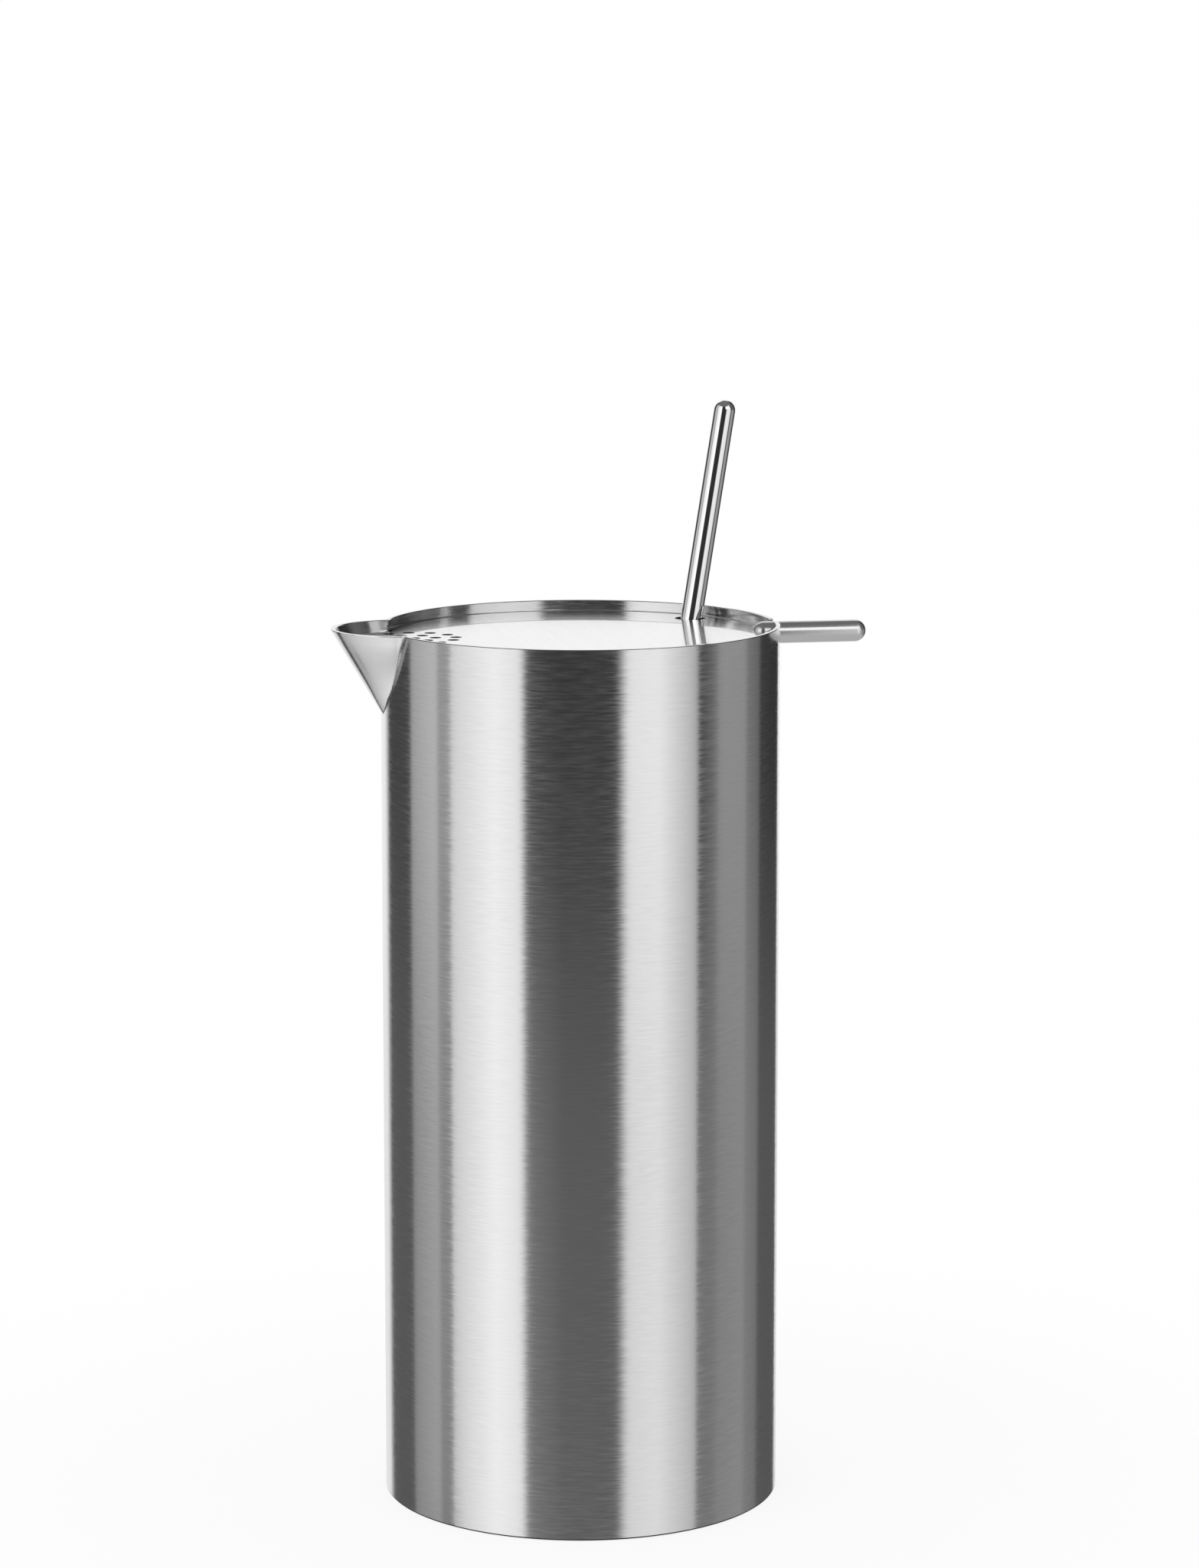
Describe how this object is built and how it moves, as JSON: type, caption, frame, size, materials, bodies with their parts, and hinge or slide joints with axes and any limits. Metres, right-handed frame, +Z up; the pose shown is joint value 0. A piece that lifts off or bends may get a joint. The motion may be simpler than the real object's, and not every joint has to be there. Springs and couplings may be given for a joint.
{
  "type": "cocktail pitcher",
  "caption": "Tall straight-sided steel cocktail pitcher with a conical spout, a drop-in lid with a pouring strainer and a lifting pin, and a long spoon standing through the lid.",
  "frame": {"origin": "centre of the underside of the base, where the pitcher stands", "axes": "+Z up along the tube's axis, -X towards the spout, +X towards the lid's pin"},
  "size_m": [0.1224, 0.09, 0.2474],
  "materials": {
    "satin_body": "satin stainless steel, brushed around the tube",
    "satin_spout": "fine satin stainless steel",
    "base_steel": "plain stainless sheet",
    "lid_steel": "mirror-polished stainless sheet",
    "skirt_steel": "plain stainless sheet",
    "pin_steel": "satin stainless bar",
    "spoon_steel": "polished stainless bar"
  },
  "bodies": {
    "pitcher": {"body_tube": "satin_body", "base_plate": "base_steel", "spout": "satin_spout"},
    "lid": {"lid_plate": "lid_steel", "lid_skirt": "skirt_steel", "lid_pin": "pin_steel"},
    "spoon": {"spoon_shaft": "spoon_steel", "spoon_bowl": "spoon_steel"}
  },
  "joints": [
    {"name": "lid_lift", "type": "slide", "parent": "pitcher", "child": "lid", "axis": [0, 0, 1], "range_m": [0, 0.21]},
    {"name": "spoon_lift", "type": "slide", "parent": "lid", "child": "spoon", "axis": [0.1867, 0.1512, 0.9707], "range_m": [0, 0.17]}
  ]
}
